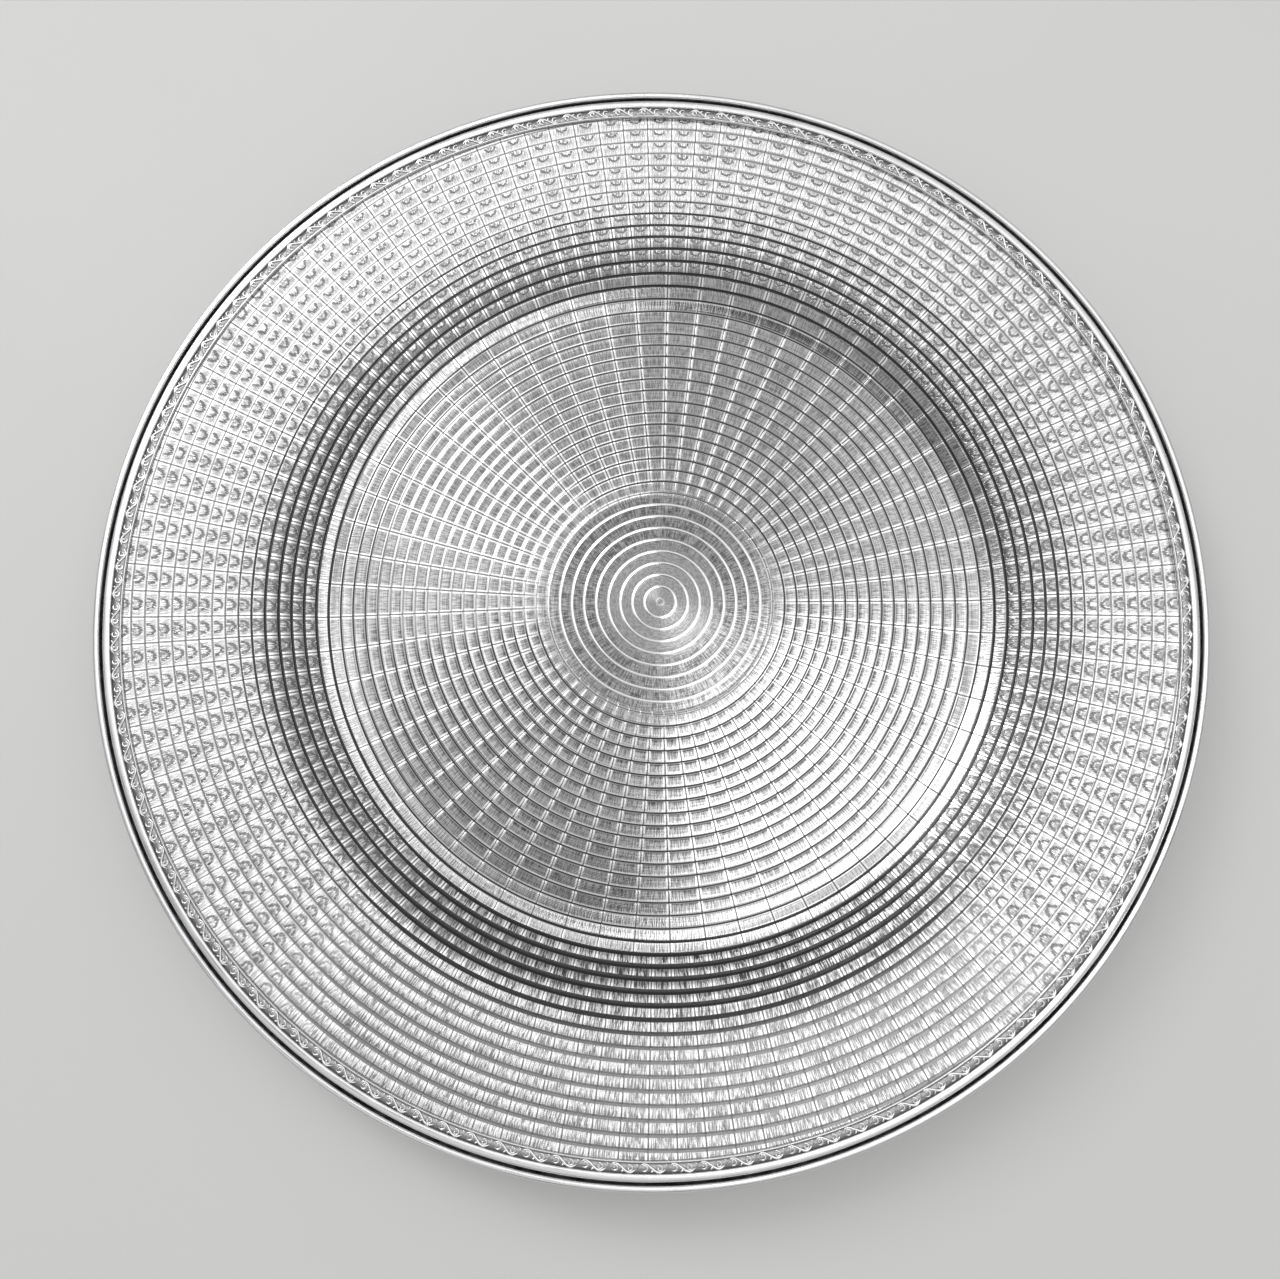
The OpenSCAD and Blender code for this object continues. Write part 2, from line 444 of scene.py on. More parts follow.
def draw_lines(t):
    """Keeps the dark lines as ring_dark and spoke_dark, and the bright ones in one mask: tool burnish and
    painted highlight together.
    """
    cove = t.times(t.fade(t.v, *COVE_IN), t.fade(t.v, *COVE_OUT))
    wider = t.plus(t.times(cove, COVE_WIDER_MM), t.times(t.near, NEAR_WIDER_MM))
    t.ring_dark = t.times(t.fade(t.v_mm, t.plus(RING_OUT_MM, wider), t.plus(RING_WHOLE_MM, wider)), t.field)
    # Painted highlight: in one sector of the floor the rings' dark line fades to a trace and the rings turn
    # bright.
    painted_highlight = t.fade(t.math("COSINE", t.less(t.turn, HIGHLIGHT_SECTOR)), *SECTOR_EDGES)
    painted_highlight = t.times(painted_highlight, t.fade(t.v, *HIGHLIGHT_RINGS))
    t.ring_dark = t.times(t.ring_dark, t.fade(painted_highlight, 0, 1, 1.0, DIRT_LEFT))
    begun = t.fade(t.v, *SPOKES_START)
    t.spoke_dark = t.times(t.fade(t.u_mm, *SPOKE_LINE_MM), begun)
    # Bright bands beside each spoke: burnish from the chasing tool, and also a painted highlight.
    spoke_band = t.times(t.fade(t.u_mm, *SPOKE_BAND_MM), begun)
    # Bright rings: polished in the plain centre, and a painted highlight in that sector of the floor.
    ring_bright = t.times(t.fade(t.v_mm, *RING_BAND_MM), t.most(t.less(1.0, t.field), painted_highlight))
    ring_bright = t.times(ring_bright, t.fade(t.v, 0.3, 0.6, 0.35, 1.0))
    t.burnished = t.most(spoke_band, ring_bright)


print(f"on the cove a dark ring is up to {2 * (RING_WHOLE_MM + COVE_WIDER_MM):.2f} mm wide before it fades")

# %% [markdown]
# ## Tone and relief of the field
# Everything now comes together twice. As relief, the ticks and the lathe's own fine lines stand up, and
# marks and hairlines are sunk. As tone, 0 is bright silver and 1 is blackened: a ground tone for each zone,
# plus the ticks and scratches, less the bright bands of tool burnish and painted highlight, with painted
# shade and painted highlight on the floor's bands and the cove, and then each dark thing lies over the rest
# where it is darker.

# %% Relief
TICK_FLOOR, TICK_FLANGE, LATHE_LINES, LATHE_DEEP = 0.03, 0.30, 9, 0.02
MARK_DEEP, HAIRLINE_DEEP, BUMP_DEPTH, BUMP_STRENGTH = 0.8, 0.7, 0.10 * MM, 0.9
TICKS_DEEPEN, HAIRLINE_MM = (24.0, 30.0), (0.25, 0.06)


def field_relief(t):
    """Ticks and lathe lines, less the deeper of mark and hairline, in units of BUMP_DEPTH."""
    lathe = t.math("SINE", t.times(t.v, 2 * math.pi * LATHE_LINES))
    struck = t.times(t.ticks, t.punched, t.fade(t.v, *TICKS_DEEPEN, TICK_FLOOR, TICK_FLANGE))
    hairline = t.times(t.fade(t.u_mm, *HAIRLINE_MM), t.field)
    sunk = t.most(t.times(t.mark, MARK_DEEP), t.times(hairline, HAIRLINE_DEEP))
    t.bump(t.less(t.plus(struck, t.times(lathe, LATHE_DEEP)), sunk), BUMP_DEPTH, BUMP_STRENGTH)


print(f"lathe lines stand {PITCH_MM / LATHE_LINES:.2f} mm apart")

# %% Tone
FLOOR_TONE, FLANGE_TONE, CENTRE_TONE = 0.40, 0.18, 0.12
# Ring numbers over which the floor, the centre, the scratches and the dark rings change their tone.
FLOOR_ENDS, CENTRE_ENDS, HAIR_ENDS, RING_ENDS = (31.0, 35.5), (9.5, 7.5), (25.0, 31.0), (33.0, 36.0)
TICK_TONE, NEAR_TICK_TONE, LUCK_TONE = 0.24, 0.48, 0.08
FLOOR_HAIR, FLANGE_HAIR = 0.16, 0.06
# How far the bright bands and painted highlights lift the tone, and the cove crescent's painted highlight.
BURNISH_AND_HIGHLIGHT_TONE, CRESCENT_HIGHLIGHT_TONE = 0.7, 0.28
BAND_GREY, BAND_BRIGHT = 0.20, 0.40
# Sines of the angle where the floor's bands get painted shade and highlight, and the cove a painted
# highlight; then where in its pitch a band is painted grey and painted bright.
SHADED_SIDES, CRESCENT_HIGHLIGHT_SIDES, GREY_PART, BRIGHT_PART = (0.25, -0.35), (0.3, -0.3), (0.50, 0.12), (0.62, 0.84)
MARK_TONE, SPOKE_TONE, RING_TONE, FLANGE_RING_TONE = 0.80, 0.75, 0.96, 0.70
print(f"ground tone {FLOOR_TONE} on the floor and {FLANGE_TONE} on the flange; marks reach {MARK_TONE}")


def ground_tone(t):
    """The zone's tone with its ticks, its scratches and a little chance, less the bright bands of tool
    burnish and painted highlight.
    """
    tone = t.fade(t.v, *FLOOR_ENDS, FLOOR_TONE, FLANGE_TONE)
    tone = t.plus(tone, t.fade(t.v, *CENTRE_ENDS, 0.0, CENTRE_TONE))
    tick_tone = t.fade(t.near, 0, 1, TICK_TONE, NEAR_TICK_TONE)
    tone = t.plus(tone, t.times(t.ticks, t.punched, tick_tone))
    tone = t.plus(tone, t.times(t.hair, t.fade(t.v, *HAIR_ENDS, FLOOR_HAIR, FLANGE_HAIR)))
    tone = t.plus(tone, t.times(t.less(t.luck, 0.5), t.times(t.flange, LUCK_TONE)))
    return t.less(tone, t.times(t.burnished, BURNISH_AND_HIGHLIGHT_TONE))


def painted_light_tone(t, tone):
    """On the half towards -Y each band between two floor rings runs from painted shade to painted highlight
    on its way out, grey to bright, and the last bands before the cove are lightened as a painted highlight,
    the cove's bright crescent."""
    where = t.times(t.fade(t.side, *SHADED_SIDES), t.fade(t.v, *SHADED_IN), t.fade(t.v, *SHADED_OUT))
    # Painted shade (grey) and painted highlight (light) across the width of each floor band.
    grey = t.fade(t.v_cell, *GREY_PART, 0.0, BAND_GREY)
    light = t.fade(t.v_cell, *BRIGHT_PART, 0.0, BAND_BRIGHT)
    # Painted highlight: the bright crescent of the cove on the -Y half.
    painted_highlight = t.times(t.fade(t.v, *CRESCENT_HIGHLIGHT_IN), t.fade(t.v, *CRESCENT_HIGHLIGHT_OUT), t.fade(t.side, *CRESCENT_HIGHLIGHT_SIDES))
    return t.less(t.plus(tone, t.times(t.less(grey, light), where)), t.times(painted_highlight, CRESCENT_HIGHLIGHT_TONE))


# %% The whole finish
SHINE_ENDS, FLOOR_ROUGH, FLANGE_ROUGH, STRETCH = (26.0, 30.0), 0.11, 0.24, 0.2


def chased(name):
    """The dish's upper side. It is lathe-turned, so its shine is stretched outwards from the field's
    middle."""
    t = Tree(name)
    for step in (read_cells, punch_ticks, strike_marks, draw_lines, field_relief):
        step(t)
    tone = painted_light_tone(t, ground_tone(t))
    tone = t.most(tone, t.times(t.mark, MARK_TONE))
    tone = t.most(tone, t.times(t.ring_dark, t.fade(t.v, *RING_ENDS, RING_TONE, FLANGE_RING_TONE)))
    tone = t.most(tone, t.times(t.spoke_dark, SPOKE_TONE))
    t.colour(t.shades(t.math("MINIMUM", t.most(tone, 0.0), 1.0), BRIGHT, BLACK))
    t.roughness(t.fade(t.v, *SHINE_ENDS, FLOOR_ROUGH, FLANGE_ROUGH))
    t.shader.inputs["Anisotropic"].default_value = STRETCH
    outwards = t.vector("MULTIPLY", t.vector("SUBTRACT", t.place(), (*FIELD_SHIFT, 0)), (1, 1, 0))
    t.put(t.shader.inputs["Tangent"], t.vector("NORMALIZE", outwards))
    print(f"{name}: {len(t.nodes)} nodes")
    return t.material


# %% [markdown]
# ## The dish
# The rings are real: their grooves and ridges are in the mesh, because a groove's two flanks catch the
# light from opposite sides, and a bump alone can't cast its shade. The surface between two rings is crowned
# a little, as a turner's tool leaves it, and the crown makes each band flash on its own. A fine even grid
# would waste most of its points. So the rows follow the rings, with a few for each, and every groove has
# points on its bottom and on both edges. The columns double twice on the way out, as the cells grow wider.

# %% Ring numbers and radii
RING_PITCH, FIRST_RING_R = PITCH_MM * MM, 4.45 * MM
fine_r = np.linspace(0, 150 * MM, 3001)
fine_s = np.concatenate([[0], np.cumsum(np.hypot(np.diff(fine_r), np.diff(rise(fine_r))))])
first_s = float(np.interp(FIRST_RING_R, fine_r, fine_s))


def ring_of(r):
    """Ring number of a radius: 1 on the first ring, and one more for each pitch along the surface."""
    return 1 + (np.interp(r, fine_r, fine_s) - first_s) / RING_PITCH


def radius_of(k):
    """The radius of ring number k."""
    return np.interp((k - 1) * RING_PITCH + first_s, fine_s, fine_r)


last_ring = float(ring_of(FIELD_R + np.linalg.norm(FIELD_SHIFT)))
print(f"{last_ring:.1f} rings; the cove starts at ring {float(ring_of(COVE_IN_R)):.1f}")

# %% Relief that is in the mesh
GROOVE_DEPTH, FLANGE_GROOVE, GROOVE_HALF = 0.16 * MM, 0.12 * MM, 0.17 * MM
RIDGE_H, RIDGE_HALF = 0.07 * MM, 0.22 * MM
FLOOR_CROWN, FLANGE_CROWN, UNEVEN = 0.035 * MM, 0.09 * MM, 0.2
SHALLOW_RING = FLANGE_RING + 5
MOST_RINGS, PHASES = 60, 6.28
hand = np.random.default_rng(11).uniform(0, 1, (MOST_RINGS, 3))


def relief(k, u):
    """Height of the chasing over the smooth dish at ring number k and spoke number u. In the plain centre a
    ring is a raised line, a bell curve of its own width. Elsewhere it is a sunk line of the same form, and
    the surface between two rings is crowned. The crown swells and sinks a little on its way round, by one
    slow wave of its own for each ring, because it is turned by hand."""
    off_ring = np.abs(k - np.round(k)) * RING_PITCH
    in_field = np.clip((k - RIDGES - 0.3) / 0.5, 0, 1)
    ridge = RIDGE_H * np.exp(-(off_ring / RIDGE_HALF) ** 4) * (k > 0.5) * (k < RIDGES + 0.5)
    deep = np.where(k > SHALLOW_RING, FLANGE_GROOVE, GROOVE_DEPTH)
    groove = deep * np.exp(-(off_ring / GROOVE_HALF) ** 2) * (k > RIDGES + 0.5)
    size, waves, phase = hand[np.clip(k, 0, MOST_RINGS - 1).astype(int)].T
    wave = np.cos(np.round(2 + 4 * waves) * 2 * math.pi * u.T / SPOKES + PHASES * phase)
    swell = UNEVEN * (size - 0.5 + wave).T
    high = np.where(k > FLANGE_RING, FLANGE_CROWN, FLOOR_CROWN)
    crown = high * (1 - (2 * (k % 1) - 1) ** 2) * in_field
    return (ridge - groove + crown)[:, None] + crown[:, None] * swell


print(f"grooves {GROOVE_DEPTH / MM:.2f} mm deep, and {FLANGE_GROOVE / MM:.2f} mm from ring {SHALLOW_RING} on")

# %% Rows and columns
# Where the rows of one pitch stand, as parts of it.
CENTRE_ROWS = np.array([-0.13, -0.08, -0.04, 0.04, 0.08, 0.13, 0.35, 0.65])
FLOOR_ROWS = np.array([0.0, 0.05, 0.10, 0.24, 0.50, 0.76, 0.90, 0.95])
FLANGE_ROWS = np.array([0.0, 0.055, 0.11, 0.45, 0.89, 0.945])
COARSE = 2 * SPOKES


def zone(first, last, rows, columns):
    """Ring numbers of a zone's rows, and the spoke numbers of its evenly spaced columns."""
    k = (np.arange(first, last)[:, None] + rows[None, :]).ravel()
    return k[k < last_ring], np.arange(columns) * SPOKES / columns


zones = [zone(1, RIDGES + 1, CENTRE_ROWS, COARSE), zone(RIDGES + 1, FLANGE_RING, FLOOR_ROWS, 2 * COARSE),
         zone(FLANGE_RING, int(last_ring) + 1, FLANGE_ROWS, 4 * COARSE)]
print(f"rows and columns {[(len(k), len(u)) for k, u in zones]}")

# %% Points of the field
SQUEEZE = 0.012 * MM
EDGE_FADE = 0.5 * MM


def field_rows(k, u, rows_left):
    """Points of a zone's rows. A row that would cross the border circle is held just inside it, a hair
    apart from its neighbours, so that the border cuts the pattern and no face loses its area."""
    turn = 2 * math.pi * u / SPOKES
    along = np.stack([np.cos(turn), np.sin(turn)], -1)[None]
    dot = along @ FIELD_SHIFT
    limit = -dot + np.sqrt(FIELD_R ** 2 - FIELD_SHIFT @ FIELD_SHIFT + dot ** 2)
    rho = np.minimum(radius_of(k)[:, None], limit - SQUEEZE * rows_left[:, None])
    xy = FIELD_SHIFT + rho[..., None] * along
    r = np.linalg.norm(xy, axis=-1)
    fade = np.clip((FIELD_R - r) / EDGE_FADE, 0, 1)
    z = CENTRE_Z + rise(r) + relief(k, u[None] + 0 * rho) * fade
    return np.concatenate([xy, z[..., None]], -1), ring_of(rho)


def pulled_to(row, radius, z):
    """The same directions, drawn in or out to a circle round the axis at height z."""
    out = row * (radius / np.linalg.norm(row[:, :2], axis=1))[:, None]
    out[:, 2] = z
    return out


# %% Build the dish
UNDER_ROWS = 24
UNDER_FROM, UNDER_TO = FIELD_R - 3 * MM, 5 * MM
PLAIN_V = -1.0


def build_dish():
    """Pole, three zones of rows, the flat seat, the sheet's edge and the plain underside, closed at its
    pole."""
    points, rings, cell_u, cell_v = [], [], [], []

    def add(row, u, v):
        start = sum(len(p) for p in points)
        points.append(row)
        rings.append(np.arange(start, start + len(row)))
        cell_u.append(np.broadcast_to(u, len(row)))
        cell_v.append(np.broadcast_to(v, len(row)))

    add(np.array([[*FIELD_SHIFT, CENTRE_Z + rise(np.linalg.norm(FIELD_SHIFT))]]), 0.0, ring_of(0))
    rows_left = sum(len(k) for k, _ in zones)
    for k, u in zones:
        xyz, here = field_rows(k, u, rows_left - np.arange(len(k)))
        rows_left -= len(k)
        for row, v in zip(xyz, here):
            add(row, u, v)
    edge_u = zones[-1][1]
    seat_under_z = SEAT_Z - SHEET_T
    for radius, z in ((FIELD_R, SEAT_Z), (SHEET_R, SEAT_Z), (SHEET_R, seat_under_z), (FIELD_R, seat_under_z)):
        add(pulled_to(points[-1], radius, z), edge_u, PLAIN_V)
    upper = len(rings)
    step = len(edge_u) // COARSE
    for radius in np.linspace(UNDER_FROM, UNDER_TO, UNDER_ROWS):
        row = points[-1][::step] if len(points[-1]) > COARSE else points[-1]
        add(pulled_to(row, radius, CENTRE_Z + rise(radius) - SHEET_T), 0.0, PLAIN_V)
    add(np.array([[0, 0, UNDER_Z]]), 0.0, PLAIN_V)
    first, last = rings[1], rings[-2]
    faces = [np.column_stack([0 * first, first, np.roll(first, -1)])]
    for inner, outer in zip(rings[1:upper - 1], rings[2:upper]):
        faces += bridge(inner, outer)
    for outer, inner in zip(rings[upper - 1:-2], rings[upper:-1]):
        faces += [f[:, ::-1] for f in bridge(inner, outer)]
    faces.append(np.column_stack([0 * last + rings[-1][0], np.roll(last, -1), last]))
    return np.concatenate(points), faces, np.concatenate(cell_u), np.concatenate(cell_v)


dish_points, dish_faces, dish_u, dish_v = build_dish()
dish = new_piece("dish", dish_points, dish_faces, chased("chased_silver"))
dish.data.materials.append(satin("spun_silver"))
# The seat's dull grey is oxide, and also painted shade where it shows between the border pieces.
dish.data.materials.append(oxide_and_shade("seat_silver"))

# %% [markdown]
# ## The counts on the mesh
# The finish reads spoke and ring numbers from a UV map, because a UV map belongs to face corners. A number
# kept on the points would run backwards over the one column where the count of spokes starts again from 0.
# The same pass hands out the finishes: chased above, dull grey on the seat, which is oxide and painted
# shade, and satin below.

# %% Write the cells map
UNDERSIDE, SEAT = 1, 2


def per_face(array, start, kind):
    """The largest or smallest value of each face's corners."""
    return kind.reduceat(array, start)


def write_cells(mesh, u, v):
    """Writes ring and spoke numbers as a UV map. A face that spans the last column gets the number of
    spokes added on its far side. A face with v below 0 is plain, and a plain one near the seat's height is
    the seat."""
    loop_vertex = np.empty(len(mesh.loops), np.int32)
    mesh.loops.foreach_get("vertex_index", loop_vertex)
    start, count = np.empty((2, len(mesh.polygons)), np.int32)
    mesh.polygons.foreach_get("loop_start", start)
    mesh.polygons.foreach_get("loop_total", count)
    face = np.repeat(np.arange(len(start)), count)
    lu, lv = u[loop_vertex], v[loop_vertex]
    lu = np.where(per_face(lu, start, np.maximum)[face] - lu > SPOKES / 2, lu + SPOKES, lu)
    uv = mesh.uv_layers.new(name="cells")
    uv.data.foreach_set("uv", np.stack([lu, lv], -1).astype(np.float32).ravel())
    plain = per_face(lv, start, np.minimum) < PLAIN_V / 2
    places = np.empty(len(mesh.vertices) * 3)
    mesh.vertices.foreach_get("co", places)
    lowest = per_face(places[2::3][loop_vertex], start, np.minimum)
    seat = plain & (lowest > SEAT_Z - 0.3 * MM)
    mesh.polygons.foreach_set("material_index", np.where(seat, SEAT, plain * UNDERSIDE).astype(np.int32))
    mesh.update()
    print(f"{int(seat.sum())} faces of seat, {int(plain.sum() - seat.sum())} of underside")


write_cells(dish.data, dish_u, dish_v)
stand_for(dish, "plate_body")

# %% [markdown]
# ## Turned wires
# The border wires, the rim moulding and the foot are all one profile carried round the axis. The screw
# modifier or a curve's bevel could do that too. A grid worked out here has no seam, no pole and no modifier
# left to apply. A drawn wire isn't a true half circle: its top is broad and its sides are steep, which is
# what makes it shine as a band and not as a thread.

# %% Profiles and rings
def turned_points(profile, columns):
    """A closed profile of (radius, z) points, carried round Z: (r cos, r sin, z) for every column."""
    r, z = np.asarray(profile, float).T[:, :, None]
    turn = 2 * math.pi * np.arange(columns) / columns
    return np.stack([r * np.cos(turn), r * np.sin(turn), z + 0 * turn], -1).reshape(-1, 3)


def turned(name, profile, material, columns):
    """A piece from a profile that runs counter-clockwise, seen with the radius to the right."""
    faces = grid_faces(len(profile), columns)[:, ::-1]
    return new_piece(name, turned_points(profile, columns), [faces], material)


def arc(cx, cz, rx, rz, start, end, steps):
    """Points on an ellipse from start to end, in degrees."""
    a = np.radians(np.linspace(start, end, steps))
    return np.stack([cx + rx * np.cos(a), cz + rz * np.sin(a)], -1)


def dome(inner, outer, base, top, power, steps):
    """Half an ellipse from the outer radius to the inner one. Its height is raised to a power below 1,
    which flattens its top and steepens its sides."""
    profile = arc((inner + outer) / 2, 0, (outer - inner) / 2, 1, 0, 180, steps)
    profile[:, 1] = base + (top - base) * np.clip(profile[:, 1], 0, 1) ** power
    return profile


print("a dome of five points:", dome(0, 2, 0, 1, 0.5, 5).round(2).tolist())

# %% Border wires and rim
WIRE_COLUMNS, WIRE_POWER, RIM_POWER = 720, 0.3, 0.45
bright = polished("bright_silver", 0.20, (0.96, 0.96, 0.965))
for node, inner in (("inner_border_wire", INNER_WIRE_IN), ("outer_border_wire", OUTER_WIRE_IN)):
    outer, base, top = reach(node)
    profile = dome(inner, outer, base, top, WIRE_POWER, 16)
    wire = turned(node.replace("_wire", "_bead"), profile, bright, WIRE_COLUMNS)
    stand_for(wire, node)

# The rim is a channel: its slot closes over the sheet's edge, and its lip reaches down to the rope wire.
rim_in, slot_r, seat_under = RIM_R - RIM_W, SHEET_R + GAP, SEAT_Z - SHEET_T
bead = dome(rim_in, RIM_R, RIM_TOP_Z - RIM_W / 2, RIM_TOP_Z, RIM_POWER, 17)
channel = [[rim_in, SEAT_Z], [slot_r, SEAT_Z], [slot_r, seat_under], [rim_in, seat_under],
           [rim_in, ROPE_TOP_Z], [RIM_R, ROPE_TOP_Z]]
rim = turned("rim_channel", np.concatenate([bead, channel]), bright, WIRE_COLUMNS)
stand_for(rim, "rim_moulding")

# %% [markdown]
# ## Rope wire
# Two wires are twisted together, drawn a little flat and soldered under the rim, which leaves a row of
# slanting lobes. Two real helices would have thousands of hidden faces where they cross. Here one section
# swells and shrinks with a wave that runs round the ring and climbs with the section's own angle, and that
# gives the same lobes and creases. The wave is also kept as an attribute, so the finish can darken the
# creases.

# %% Rope finish
def rope_silver():
    """Polished strands with dark creases. `lay` is 1 on the crest of a strand and 0 in the crease."""
    t = Tree("rope_silver")
    lay = t.nodes.new("ShaderNodeAttribute")
    lay.attribute_name = "lay"
    crest = t.fade(lay.outputs["Fac"], 0.15, 0.55)
    worn = t.times(crest, t.fade(t.noise(t.place(), 300, 2), 0.2, 0.5, 0.85, 1.0))
    t.colour(t.shades(worn, (0.08, 0.08, 0.08), BRIGHT))
    t.roughness(t.fade(worn, 0, 1, 0.4, 0.16))
    return t.material


# %% Rope
ROPE_LOBES, PER_LOBE, ROPE_SECTION, ROPE_TWIST, LOBE_DEPTH = 244, 8, 16, 2, 0.6


def rope():
    """Section angle a and turn t. Lay is the size of cos((lobes * t + twist * a) / 2), and the section's half
    axes shrink by LOBE_DEPTH * (1 - lay)."""
    half_h, half_w = (ROPE_TOP_Z - ROPE_LOW_Z) / 2, ROPE_W / 2 - GAP
    columns = ROPE_LOBES * PER_LOBE
    t = 2 * math.pi * np.arange(columns) / columns
    a = 2 * math.pi * np.arange(ROPE_SECTION)[:, None] / ROPE_SECTION
    lay = np.abs(np.cos((ROPE_LOBES * t[None, :] + ROPE_TWIST * a) / 2))
    swell = 1 - LOBE_DEPTH * (1 - lay)
    r = EDGE_R - ROPE_W / 2 + half_w * np.cos(a) * swell
    z = ROPE_LOW_Z + half_h + half_h * np.sin(a) * swell
    points = np.stack([r * np.cos(t), r * np.sin(t), z], -1).reshape(-1, 3)
    piece = new_piece("rope_edge", points, [grid_faces(ROPE_SECTION, columns)[:, ::-1]], rope_silver())
    kept = piece.data.attributes.new("lay", "FLOAT", "POINT")
    kept.data.foreach_set("value", lay.ravel().astype(np.float32))
    return piece


stand_for(rope(), "rope_wire")

# %% [markdown]
# ## Scrollwork
# The strip is rolled from a die, so one short length of it repeats all the way round: a running vine, with
# a spiral tendril in each of its bends and a bud beside it. It could be a texture with bump, but the
# strokes stand up far enough to shade each other. So each stroke is a path on the flat strip with a small
# rounded section, and then the whole repeat is wrapped round the dish.

# %% Scroll paths
SCROLL_REPEATS = 122
scroll_out, scroll_low, scroll_high = reach("scroll_strip")
SCROLL_W = scroll_out - SCROLL_IN
scroll_mid = scroll_out - SCROLL_W / 2
SCROLL_PITCH = 2 * math.pi * scroll_mid / SCROLL_REPEATS
print(f"{SCROLL_REPEATS} repeats of {SCROLL_PITCH / MM:.1f} mm on a strip {SCROLL_W / MM:.1f} mm wide")


TENDRIL_R, TENDRIL_DROP, VINE_SWING = 0.98 * MM, 0.12 * MM, 1.0 * MM
# The tendril's angles in half turns, and how much of its radius is gone at its end.
TENDRIL_START, TENDRIL_SWEEP, TENDRIL_SHRINK = 0.15, 2.4, 0.86
BUD_LENGTH, BUD_TOP, BUD_FALL = 0.9 * MM, 0.95, 0.75


def spiral(side, steps=16):
    """A tendril of one and a fifth turns. Its radius shrinks evenly as its angle grows. Side is 1 or -1."""
    t = np.linspace(0, 1, steps)
    a = math.pi * (TENDRIL_START + TENDRIL_SWEEP * t)
    radius = TENDRIL_R * (1 - TENDRIL_SHRINK * t)
    x = -radius * np.cos(a)
    y = radius * np.sin(a)
    return np.stack([x + SCROLL_PITCH * (0.25 if side > 0 else 0.75), side * (y - TENDRIL_DROP)], -1)


def vine(steps=15):
    """The stem: one full sine wave over a repeat."""
    t = np.linspace(0, 1, steps)
    return np.stack([SCROLL_PITCH * t, -VINE_SWING * np.sin(2 * math.pi * t)], -1)


def bud(x, side, steps=5):
    """A short parabola that fills the gap beside a bend."""
    t = np.linspace(0, 1, steps)
    return np.stack([x + BUD_LENGTH * (t - 0.5), side * (BUD_TOP - BUD_FALL * t ** 2) * MM], -1)


# %% From a path to a stroke
# The section runs from one side over the top to the other, in half widths and heights.
SECTION = np.array([[-1.0, 0.0], [-0.82, 0.94], [0.0, 1.0], [0.82, 0.94], [1.0, 0.0]])


def stroke(path, half_width, height):
    """Carries the section along a path on the strip: across is the path's normal, and both ends taper."""
    step = np.gradient(path, axis=0)
    step /= np.linalg.norm(step, axis=1, keepdims=True)
    normal = np.stack([-step[:, 1], step[:, 0]], -1)
    t = np.linspace(0, 1, len(path))
    taper = np.clip(np.minimum(t, 1 - t) * 6, 0.25, 1)
    across = SECTION[None, :, 0, None] * (half_width * taper)[:, None, None]
    xy = path[:, None, :] + normal[:, None, :] * across
    z = SECTION[None, :, 1] * (height * taper)[:, None]
    return xy, z


print("a stroke of 5 points along has", stroke(bud(0, 1), 0.2 * MM, 0.3 * MM)[1].size, "points in all")

# %% Lay out one repeat and wrap it
RELIEF_H = 0.36 * MM
SCROLL_STROKES = [
    (vine(), 0.29 * MM, RELIEF_H), (spiral(1), 0.25 * MM, 0.34 * MM), (spiral(-1), 0.25 * MM, 0.34 * MM),
    (bud(SCROLL_PITCH * 0.5, 1), 0.23 * MM, 0.3 * MM), (bud(SCROLL_PITCH, -1), 0.23 * MM, 0.3 * MM),
]
ground_z = scroll_high - RELIEF_H


def build_scrolls():
    """The strokes of one repeat are laid out flat, then wrapped round the strip as many times as it
    repeats. x on the flat strip becomes the angle x / scroll_mid, and y is added to the radius."""
    flat, faces, total = [], [], 0
    for path, half_width, height in SCROLL_STROKES:
        xy, z = stroke(path, half_width, height)
        rows, cols = z.shape
        number = total + np.arange(rows * cols).reshape(rows, cols)
        nxt = np.roll(number, -1, axis=1)
        faces.append(np.stack([number[:-1], number[1:], nxt[1:], nxt[:-1]], -1).reshape(-1, 4))
        faces += [number[None, 0], number[None, -1, ::-1]]
        flat.append(np.concatenate([xy, (ground_z + z)[..., None]], -1).reshape(-1, 3))
        total += rows * cols
    flat = np.concatenate(flat)
    turn = (flat[None, :, 0] + np.arange(SCROLL_REPEATS)[:, None] * SCROLL_PITCH) / scroll_mid
    r = scroll_mid + flat[None, :, 1]
    points = np.stack([r * np.cos(turn), r * np.sin(turn), flat[None, :, 2] + 0 * turn], -1)
    offset = (np.arange(SCROLL_REPEATS) * total)[:, None, None]
    many = [(f[None] + offset).reshape(-1, f.shape[1]) for f in faces]
    return points.reshape(-1, 3), many


# %% Scroll finish, and the strip with its ground
GROUND_COLUMNS, GROUND_TONE = 366, 0.50


def scroll_silver():
    """Worn relief, told apart by height: a darkened ground and bright tops."""
    t = Tree("scroll_silver")
    over = t.less(t.parts(t.place())[2], ground_z)
    top = t.fade(over, 0.02 * MM, 0.2 * MM)
    t.colour(t.shades(t.less(GROUND_TONE, t.times(top, GROUND_TONE)), BRIGHT, BLACK))
    t.roughness(t.fade(top, 0, 1, 0.45, 0.24))
    t.bump(t.noise(t.place(), 2200, 2), 0.04 * MM, 0.5)
    return t.material


scroll_points, scroll_faces = build_scrolls()
strip_in = scroll_out - SCROLL_W
strip = turned_points([[strip_in, scroll_low], [scroll_out, scroll_low], [scroll_out, ground_z],
                       [strip_in, ground_z]], GROUND_COLUMNS)
strip_faces = grid_faces(4, GROUND_COLUMNS)[:, ::-1] + len(scroll_points)
scroll = new_piece("scroll_relief", np.concatenate([scroll_points, strip]), scroll_faces + [strip_faces],
                   scroll_silver())
stand_for(scroll, "scroll_strip")

